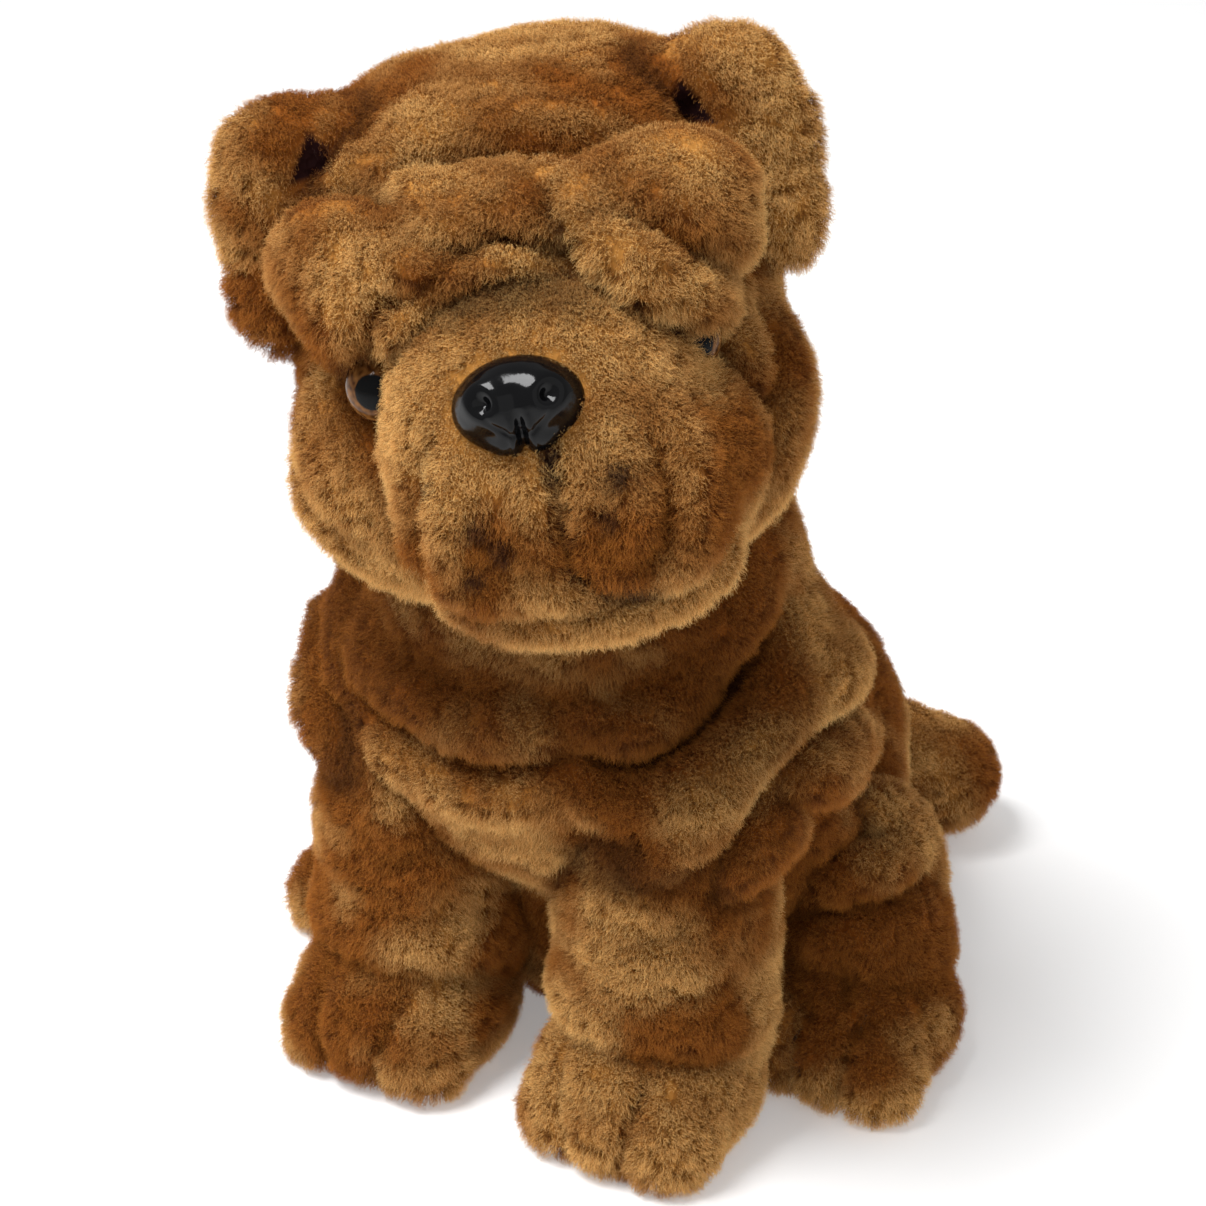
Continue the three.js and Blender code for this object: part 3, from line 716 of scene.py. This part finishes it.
def fur(o, per_cm2=38, children=26, length=PILE, seed=1, clump=0.28, down=0.5, density=None, lengths=None):
    """Pile on a piece, in metres, after it is in the row frame."""
    o.data.materials.append(PELT_SKIN)
    o.data.materials.append(PELT_HAIR)
    mod = o.modifiers.new("pile", "PARTICLE_SYSTEM")
    system = mod.particle_system
    system.seed = seed
    st = system.settings
    st.type = "HAIR"
    st.count = int(area_of(o) * 1e4 * per_cm2)
    st.hair_step = 4
    st.use_advanced_hair = True
    st.use_even_distribution = True
    st.emit_from = "FACE"
    st.child_type = "SIMPLE"
    st.child_percent = 5
    st.rendered_child_count = children
    st.child_radius = 0.0022
    st.child_roundness = 0.5
    st.clump_factor = clump
    st.clump_shape = 0.2
    st.roughness_1, st.roughness_1_size = 0.0007, 0.008
    st.roughness_endpoint = 0.0006
    st.roughness_2, st.roughness_2_size = 0.0008, 0.004
    launch = 0.25 * length * MM
    st.normal_factor = launch
    st.factor_random = 0.3 * launch
    st.object_align_factor = (0, 0, -down * launch)
    st.length_random = 0.25
    st.root_radius, st.tip_radius, st.radius_scale = 0.085, 0.025, 0.001
    st.use_close_tip = True
    st.render_step = 3
    st.display_step = 2
    st.material = 2
    for kind, values in (("density", density), ("length", lengths)):
        if values is None:
            continue
        group = o.vertex_groups.new(name=f"pile_{kind}")
        for i, v in enumerate(values):
            group.add([i], float(v), "REPLACE")
        setattr(system, f"vertex_group_{kind}", group.name)
    return system


# ---- Camera, light and floor ----
def aimed(o, target):
    o.rotation_mode = "QUATERNION"
    o.rotation_quaternion = (Vector(target) - o.location).to_track_quat("-Z", "Y")


def add_camera(azimuth=30, elevation=29, distance=0.733, target=(-0.0011, -0.0366, 0.1068), lens=98.2):
    cam = bpy.data.objects.new("camera", bpy.data.cameras.new("camera"))
    scene.collection.objects.link(cam)
    a, e = math.radians(azimuth), math.radians(elevation)
    back = Vector((math.sin(a) * math.cos(e), -math.cos(a) * math.cos(e), math.sin(e)))
    cam.location = Vector(target) + back * distance
    aimed(cam, target)
    cam.data.lens = lens
    cam.data.clip_start, cam.data.clip_end = 0.01, 20
    scene.camera = cam
    return cam


def add_light(name, location, size, watts, colour=(1, 1, 1), target=(0, -0.03, 0.12)):
    lamp = bpy.data.lights.new(name, "AREA")
    lamp.size, lamp.energy, lamp.color = size, watts, colour
    o = bpy.data.objects.new(name, lamp)
    scene.collection.objects.link(o)
    o.location = location
    aimed(o, target)
    return o


def add_floor():
    mesh = bpy.data.meshes.new("floor")
    w = 8
    mesh.from_pydata([(-w, -w, 0), (w, -w, 0), (w, w, 0), (-w, w, 0)], [], [(0, 1, 2, 3)])
    o = mesh_object("floor", mesh)
    m, _, b = material("floor_paper")
    b.inputs["Base Color"].default_value = (0.93, 0.93, 0.93, 1)
    b.inputs["Emission Color"].default_value = (1, 1, 1, 1)
    b.inputs["Emission Strength"].default_value = 0.25
    b.inputs["Roughness"].default_value = 0.9
    mesh.materials.append(m)
    return o


add_camera()
add_floor()
add_light("key", location=(-0.30, -0.42, 1.15), size=0.5, watts=15.5)
add_light("fill", location=(0.9, -0.6, 0.6), size=1.2, watts=1.5)
world = bpy.data.worlds.new("studio")
scene.world = world
world.use_nodes = True
world.node_tree.nodes["Background"].inputs["Color"].default_value = (1, 1, 1, 1)
world.node_tree.nodes["Background"].inputs["Strength"].default_value = 0.42
scene.view_settings.view_transform = "Standard"

# ---- Into the row frame ----
LOCAL = {o.name: coordinates(o) for o in pelts}
for o in (nose, *eyes.values()):
    PLACE[o.name] = HEAD
for thread, _, _ in threads.values():
    PLACE[thread.name] = ROW
hard = [nose, *eyes.values(), *(t[0] for t in threads.values())]
for o in pelts + hard:
    o.data.transform(Matrix.Diagonal((MM, MM, MM, 1)) @ PLACE[o.name])
    o.data.shade_smooth()

# ---- Paint and pile ----
HIDDEN = 4.5 * MM
TREES = {o.name: surface_tree(o) for o in pelts}


def nearness(o, reach=4.5 * MM):
    """For each point of o: 0 deep inside another piece or else 1, and how near another piece it is."""
    co = coordinates(o)
    shows, near = np.ones(len(co)), np.zeros(len(co))
    for other in pelts:
        if other is o:
            continue
        box = coordinates(other)
        low, high = box.min(0) - reach, box.max(0) + reach
        for i in np.nonzero(((co > low) & (co < high)).all(1))[0]:
            q, n, _, d = TREES[other.name].find_nearest(Vector(co[i]))
            within = (Vector(co[i]) - q).dot(n) < 0
            if within and d > HIDDEN:
                shows[i] = 0
            near[i] = max(near[i], 1.0 if within else 1 - d / reach)
    return shows, near


def triangle(co, at):
    """Distance out from the middle of the ear's triangular notch, and which points are round it."""
    p = (co - np.array(at)) * (1, 0.5, 1)
    sides = ((0.87, 0, 0.5), (-0.87, 0, 0.5), (0, 0, -1))
    return np.max([p @ np.array(d) for d in sides], axis=0), np.linalg.norm(p, axis=1) < 13


def dots_and_lip(co):
    """Airbrushed line of the lip and dots of the whiskers on the muzzle."""
    line, _ = curve_through(LIP, 1.0)
    near = np.sqrt(np.min(((co[:, None, :] - line[None]) ** 2).sum(2), axis=1))
    ink_and_shade = np.exp(-((near / np.where(co[:, 2] < -22, 3.3, 2.4)) ** 4))
    for dot in DOTS:
        d = np.linalg.norm(co - np.array(dot), axis=1)
        ink_and_shade = np.maximum(ink_and_shade, 0.9 * np.exp(-((d / 2.6) ** 4)))
    return ink_and_shade


for i, o in enumerate(pelts):
    co = LOCAL[o.name]
    shows, near = nearness(o)
    # painted shade in the creases and where another piece lies close; the pile is made redder there too
    dark = np.maximum(np.clip(1.35 * CREASE_SHADE[o.name], 0, 1), 0.8 * near)
    red = 0.42 + 1.5 * lumps(co, 28, 3.3) + 0.8 * lumps(co, 9, 7.7) + 0.7 * np.sqrt(dark)
    red += -0.1 if PLACE[o.name] is HEAD else 0.3
    if o is not torso and PLACE[o.name] is not HEAD:
        red -= 0.5 * np.clip((22 - co[:, 2]) / 14, 0, 1)
    if o is torso:
        # painted shadow of the head on the chest: darker and redder under the chin
        chin_shadow = np.clip((co[:, 2] - 90) / 15, 0, 1) * np.clip((-co[:, 1] - 50) / 15, 0, 1)
        red += 0.5 * chin_shadow
        dark = np.maximum(dark, 0.3 * chin_shadow)
    ink_and_shade, bare = np.zeros(len(co)), np.zeros(len(co))
    short = 0.72 * np.clip(CREASE_SHADE[o.name], 0, 1) + 0.3 * near
    if o is head or o in ears.values():
        # a near-black triangle is painted round each notch, and no pile grows on it
        for notch in NOTCHES[:1] if o is head else NOTCHES:
            edge, round_it = triangle(co, notch)
            reach = 2.6 if o is head else 3.8
            ink_and_shade = np.maximum(ink_and_shade, np.where(round_it, np.clip((reach - edge) / 0.8, 0, 1), 0))
        bare = ink_and_shade.copy()
        for notch in NOTCHES:
            edge, round_it = triangle(co, notch)
            short = np.maximum(short, np.where(round_it, 0.6 * np.clip((9 - edge) / 4, 0, 1), 0))
    if o is muzzle:
        red -= 0.25
        ink_and_shade = dots_and_lip(co)
        for k in (1, -1):
            d = (co - np.array((k * 12, -68, -20))) / (10, 12, 14)
            red += 0.9 * np.exp(-(d**2).sum(1))
    if o in (head, muzzle):
        # painted shadow of the drooping lid in the slit over the left eye, laid into the near-black channel,
        # with shorter pile
        middle, half = np.array(EYE_SLIT)
        lid = 2 * np.clip(1.2 - np.linalg.norm((co - middle) / half, axis=1), 0, 0.5)
        lid_shadow = lid * np.clip(2.5 * (near - 0.1), 0, 1)
        ink_and_shade = np.maximum(ink_and_shade, 0.95 * lid_shadow)
        short = np.maximum(short, 0.75 * lid_shadow)
        d = np.linalg.norm(co - np.array(EYES["right"]), axis=1)
        bare = np.maximum(bare, np.clip((EYE_RADIUS + 1.0 - d) / 0.8, 0, 1))
        # painted shade in the socket round the right eye
        dark = np.maximum(dark, 0.9 * np.clip((EYE_RADIUS + 3.5 - d) / 3, 0, 1))
        short = np.maximum(short, 0.55 * np.clip((EYE_RADIUS + 8 - d) / 5, 0, 1))
        p = (co - np.array(NOSE_CENTRE)) / np.array(NOSE_HALF)
        out = np.linalg.norm(p, axis=1)
        bare = np.maximum(bare, np.clip((1.04 - out) / 0.05, 0, 1))
        short = np.maximum(short, 0.4 * np.clip((1.5 - out) / 0.3, 0, 1))
    paint(o, dark, ink_and_shade, red)
    sits = 1 if PLACE[o.name] is HEAD else np.clip((coordinates(o)[:, 2] - 1.2 * MM) / (1.5 * MM), 0, 1)
    fur(o, seed=20 + i, density=shows * sits * (1 - bare), lengths=1 - np.clip(short, 0, 0.8))

# ---- Bodies and what each piece stands for ----
STANDS_FOR = {
    "torso_skin": (
        "torso",
        ["seat_panel", "chest_panel", "back_left_panel", "back_right_panel", "torso_stuffing"],
    ),
    "head_skin": (
        "head",
        ["head_back_panel", "forehead_panel", "cheek_left_panel", "cheek_right_panel", "head_stuffing"],
    ),
    "muzzle_skin": (
        "head",
        ["muzzle_panel", "muzzle_stuffing", "chin_pad", "jowl_left_pad", "jowl_right_pad"],
    ),
    "tail_pelt": ("tail", ["tail_skin", "tail_stuffing"]),
}
for side, _ in SIDES:
    STANDS_FOR[f"ear_{side}_pelt"] = (f"ear_{side}", [f"ear_{side}_back_ply", f"ear_{side}_front_ply"])
    for name in (f"front_leg_{side}", f"hind_leg_{side}"):
        STANDS_FOR[f"{name}_pelt"] = (name, [f"{name}_skin", f"{name}_sole", f"{name}_stuffing"])
for o in pelts:
    body, nodes = STANDS_FOR[o.name]
    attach(o, body)
    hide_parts(*nodes)


def hard_piece(o, finish, slot, body, *nodes):
    o.data.materials.append(finish)
    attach(o, body)
    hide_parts(*nodes)


hard_piece(nose, NOSE_PLASTIC, "nose_plastic", "head", "nose")
for side, o in eyes.items():
    hard_piece(o, EYE_PLASTIC, "eye_plastic", "head", f"eye_{side}")
for thread, body, i in threads.values():
    hard_piece(thread, THREAD, "toe_thread", body, f"{body}_toe_thread_{i}")
KEPT = {
    "nose_washer": WASHER,
    "eye_left_washer": WASHER,
    "eye_right_washer": WASHER,
    "pellet_bag": BAG,
    "neck_stuffing": FILL,
}
for name, finish in KEPT.items():
    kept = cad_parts[name]
    kept.data.materials.clear()
    kept.data.materials.append(finish)
